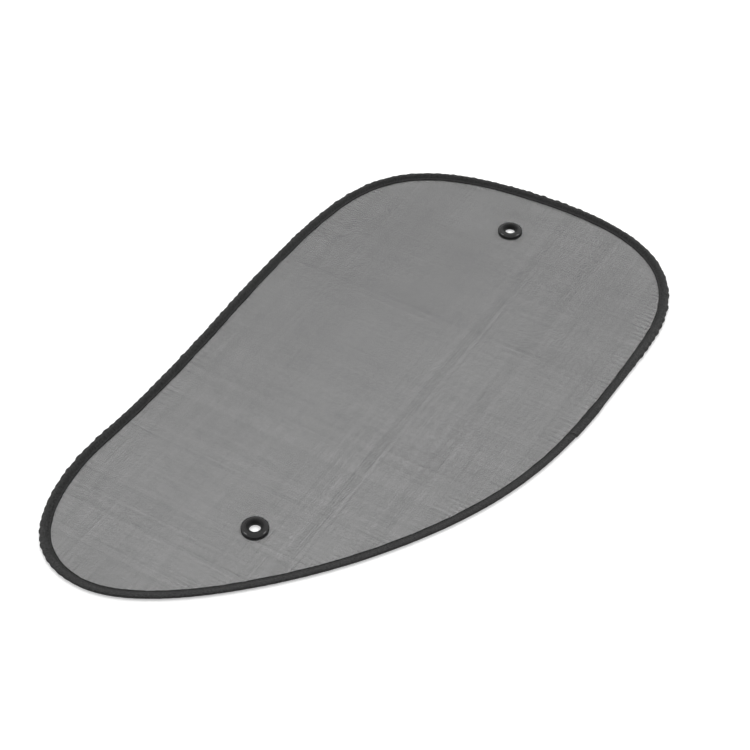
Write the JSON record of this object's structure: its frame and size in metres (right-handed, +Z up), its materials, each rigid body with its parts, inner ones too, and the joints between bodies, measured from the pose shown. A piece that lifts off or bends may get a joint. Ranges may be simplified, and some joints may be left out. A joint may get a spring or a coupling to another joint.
{
  "type": "car side window sunshade",
  "caption": "Asymmetric see-through mesh sunshade on a sprung wire hoop, cloth bound, with an eyelet near each end for a suction cup.",
  "frame": {"origin": "middle of the shade's footprint, on the surface that it lies on", "axes": "+X along the shade to its broad end, +Y to the long sill side, +Z up through the front of the eyelets"},
  "size_m": [0.65, 0.371, 0.0052],
  "materials": {
    "mesh": "fine knitted polyester mesh, matte, see-through",
    "tape": "ribbed woven polyester tape, matte",
    "eyelet_plastic": "moulded, glossy",
    "spring_wire": "drawn spring steel, oiled",
    "ferrule_metal": "plain crimped tube"
  },
  "bodies": {
    "root": {"mesh_panel": "mesh", "edge_binding": "tape", "hoop_wire": "spring_wire", "wire_ferrule": "ferrule_metal", "eyelet_1_front": "eyelet_plastic", "eyelet_1_back": "eyelet_plastic", "eyelet_2_front": "eyelet_plastic", "eyelet_2_back": "eyelet_plastic"}
  },
  "joints": []
}
